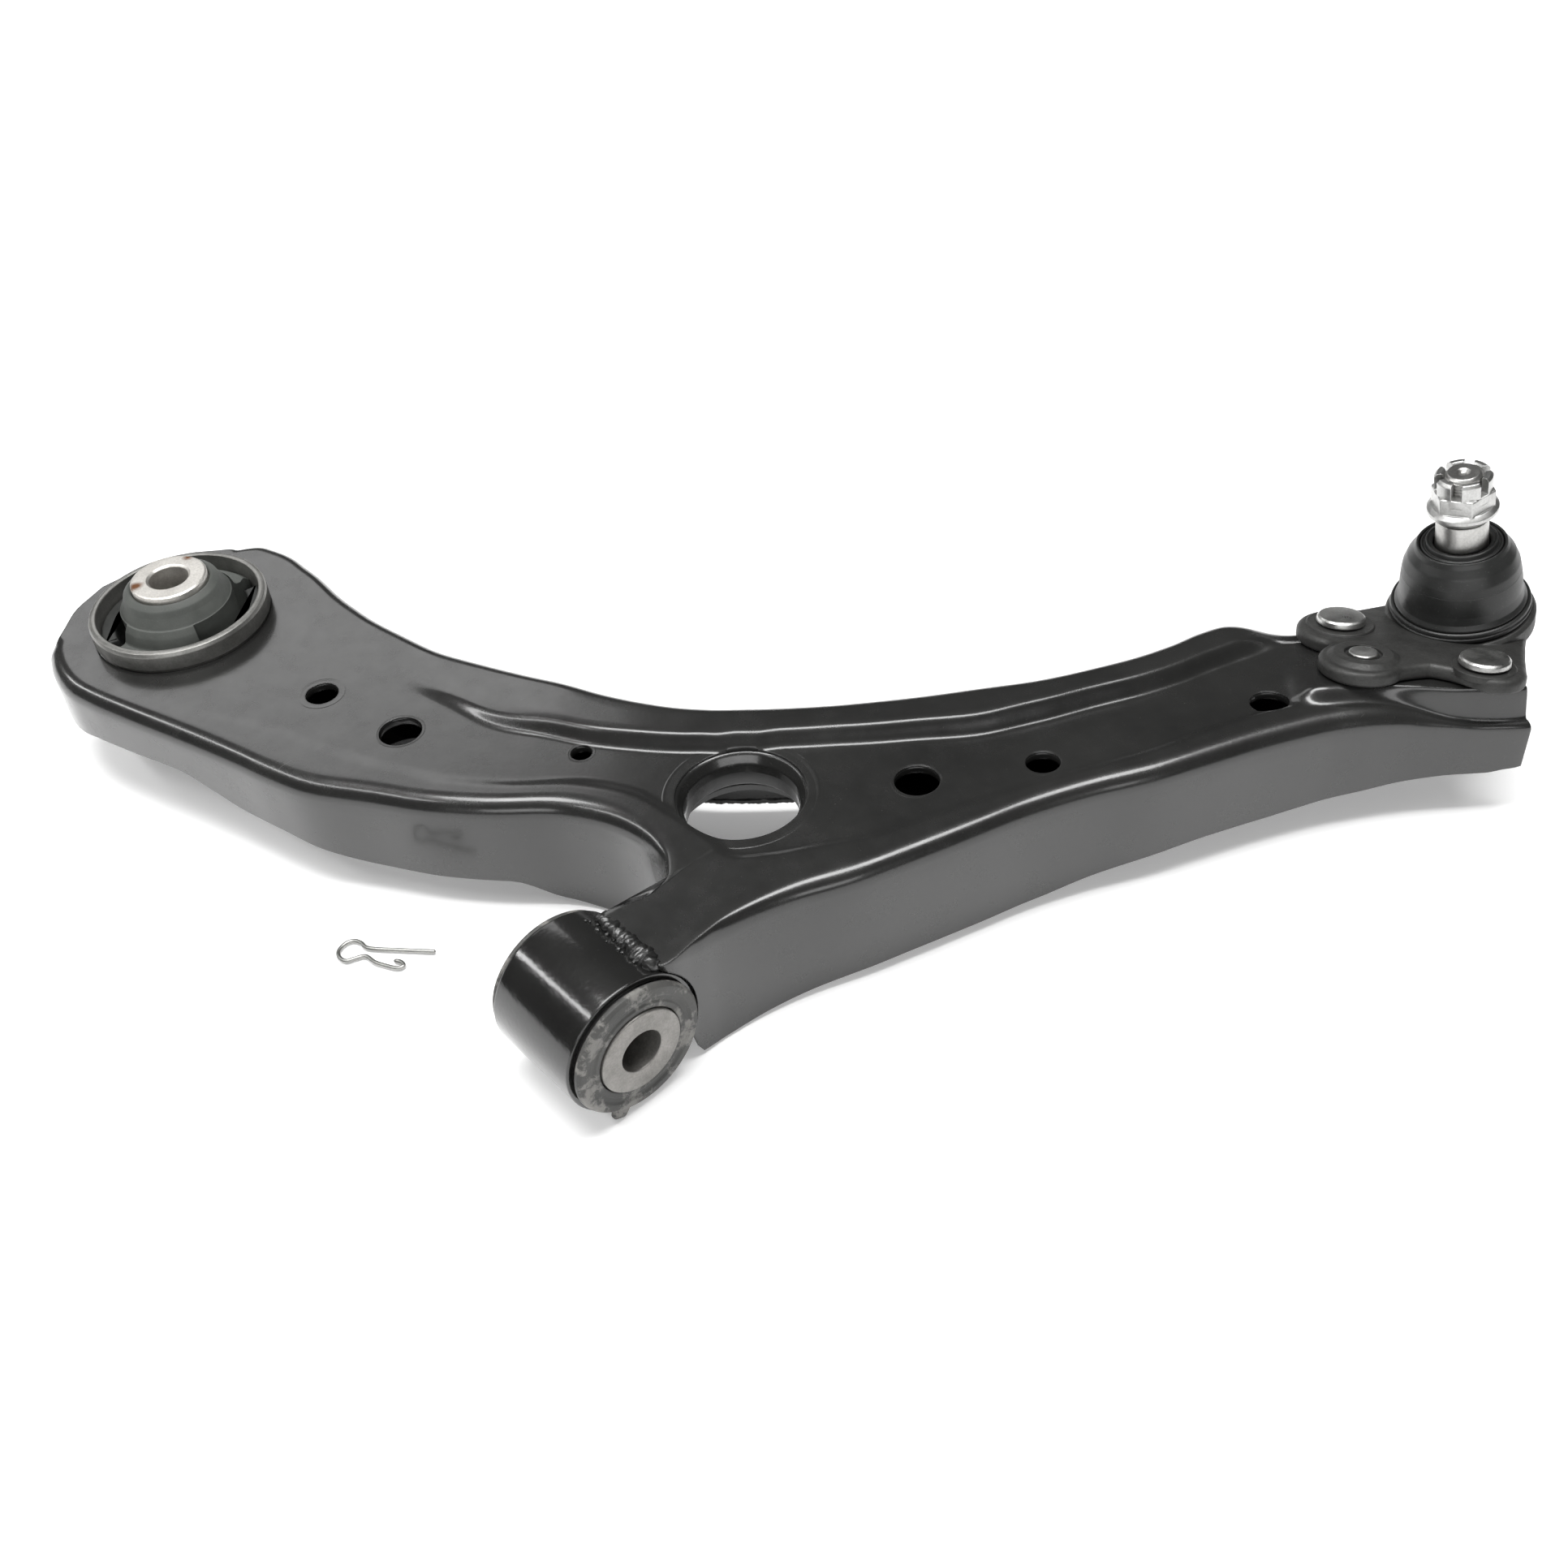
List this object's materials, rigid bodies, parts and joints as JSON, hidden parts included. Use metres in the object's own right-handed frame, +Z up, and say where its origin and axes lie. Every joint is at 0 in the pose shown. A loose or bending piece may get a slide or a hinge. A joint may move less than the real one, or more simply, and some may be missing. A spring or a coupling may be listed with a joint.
{
  "type": "control arm",
  "caption": "Left lower control arm pressed from black-coated steel, with a vertical rear bush, a front bush in a welded tube and a riveted ball joint with castle nut.",
  "frame": {"origin": "centre of the bounding box in plan, at its lowest point", "axes": "+X along the swing axis from the rear bush to the front bush, +Y outboard towards the ball joint, +Z up along the rear bush"},
  "size_m": [0.4314, 0.3898, 0.1025],
  "materials": {
    "paint": "semi-gloss black electro-coat with fine orange peel",
    "cast": "matt dark phosphated forging",
    "steel": "dull bare steel",
    "can": "satin grey plated steel",
    "zinc": "bright zinc plate",
    "rubber": "matt dark rubber",
    "plastic": "acetal liner"
  },
  "bodies": {
    "arm": {"upper_shell": "paint", "lower_shell": "paint", "seam_weld_inner": "paint", "seam_weld_front": "paint", "seam_weld_back": "paint", "front_bush_tube": "paint", "tube_weld_top": "paint", "tube_weld_side": "paint", "front_bush_outer_sleeve": "steel", "front_bush_rubber": "rubber", "rear_bush_can": "can", "rear_bush_rubber": "rubber", "rear_bump_stop_outer": "rubber", "rear_bump_stop_inner": "rubber", "ball_joint_bracket": "cast", "ball_seat": "plastic", "housing_cap": "cast", "boot_base_ring": "rubber", "rivet_back": "zinc", "rivet_front_left": "zinc", "rivet_front_right": "zinc"},
    "front_sleeve": {"front_bush_inner_sleeve": "steel"},
    "rear_sleeve": {"rear_bush_inner_sleeve": "steel"},
    "boot": {"dust_boot": "rubber"},
    "boot_lip": {"boot_lip_ring": "rubber"},
    "stud": {"ball_stud": "zinc", "castle_nut": "zinc"},
    "lock_pin": {"lock_pin": "zinc"}
  },
  "joints": [
    {"name": "front_bush_twist", "type": "hinge", "parent": "arm", "child": "front_sleeve", "pos_m": [0.07961, -0.14456, 0.0243], "axis": [1, 0, 0], "range_deg": [-20, 20], "stiffness_Nm_per_rad": 20},
    {"name": "rear_bush_twist", "type": "hinge", "parent": "arm", "child": "rear_sleeve", "pos_m": [-0.17054, -0.14456, 0.0334], "axis": [1, 0, 0], "range_deg": [-12, 12], "stiffness_Nm_per_rad": 15, "deforming": ["rear_bush_rubber"]},
    {"name": "ball_tilt_fore_aft", "type": "hinge", "parent": "arm", "child": "boot", "pos_m": [0.17144, 0.17106, 0.03737], "axis": [0.662, 0.7343, 0.15], "range_deg": [-17.5, 17.5], "deforming": ["dust_boot"]},
    {"name": "ball_tilt_side", "type": "hinge", "parent": "boot", "child": "boot_lip", "pos_m": [0.17144, 0.17106, 0.03737], "axis": [-0.7393, 0.6727, -0.0304], "range_deg": [-17.5, 17.5], "deforming": ["dust_boot"]},
    {"name": "ball_spin", "type": "hinge", "parent": "boot_lip", "child": "stud", "pos_m": [0.17144, 0.17106, 0.03737], "axis": [-0.1232, -0.0908, 0.9882], "continuous": true},
    {"name": "lock_pin_lift", "type": "slide", "parent": "arm", "child": "lock_pin", "axis": [0, 0, 1], "range_m": [0, 0.03]}
  ]
}
